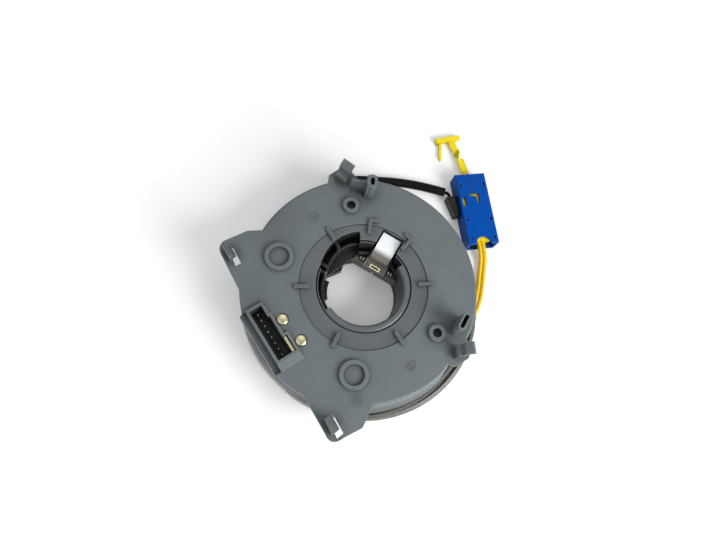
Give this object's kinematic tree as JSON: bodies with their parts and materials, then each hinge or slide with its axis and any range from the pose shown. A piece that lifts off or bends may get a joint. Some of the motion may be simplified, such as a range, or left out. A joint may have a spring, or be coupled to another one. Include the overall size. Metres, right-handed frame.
{
  "type": "steering clock spring",
  "caption": "Flat round steering clock spring: clip-on stator with ears, socket and cable clips, turning rotor with coiled flat cable, and two wire leads with a locking connector.",
  "frame": {"origin": "on the steering axis, in the rotor's lower face, where the shaft bore begins", "axes": "+Z along the steering axis, up through the stator's face; +X away from the stator's socket"},
  "size_m": [0.1694, 0.1309, 0.04],
  "materials": {
    "housing_plastic": "satin moulded blue-grey plastic",
    "rotor_plastic": "satin moulded grey plastic, a little darker",
    "carrier_plastic": "lighter grey moulded plastic",
    "header_plastic": "black moulded plastic",
    "brass": "bright rolled brass",
    "tin": "dull tinned metal",
    "white_film": "white flat-cable film",
    "slip_film": "pale slippery film",
    "black_sleeving": "soft black sleeving",
    "black_plastic": "black moulded plastic",
    "yellow_wire": "orange-yellow wire insulation",
    "yellow_plastic": "lemon-yellow moulded plastic",
    "blue_plastic": "vivid blue moulded plastic"
  },
  "bodies": {
    "stator": {"stator_housing": "housing_plastic", "pin_header": "header_plastic", "socket_pins": "tin", "shorting_bar": "brass", "contact_studs": "brass", "ribbon_coil": "white_film"},
    "rotor": {"rotor_disc": "rotor_plastic", "rotor_hub": "rotor_plastic", "retainer_ring": "rotor_plastic", "contact_carrier": "carrier_plastic", "carrier_contacts": "tin", "ribbon_tail": "white_film", "slip_disc": "slip_film", "sleeve_grommet": "black_sleeving", "wire_grommet": "black_sleeving", "black_sleeve": "black_sleeving", "thin_wire_a": "black_sleeving", "thin_wire_b": "black_sleeving", "side_plug": "black_plastic", "yellow_wire_a": "yellow_wire", "yellow_wire_b": "yellow_wire", "lead_plug": "yellow_plastic", "lock_key": "yellow_plastic"},
    "lock_sleeve": {"lock_sleeve": "blue_plastic"}
  },
  "joints": [
    {"name": "rotor_turn", "type": "hinge", "parent": "stator", "child": "rotor", "pos_m": [0, 0, 0], "axis": [0, 0, 1], "range_deg": [-900, 900]},
    {"name": "lock_slide", "type": "slide", "parent": "rotor", "child": "lock_sleeve", "axis": [0.4226, 0.9063, 0], "range_m": [0, 0.004]}
  ]
}
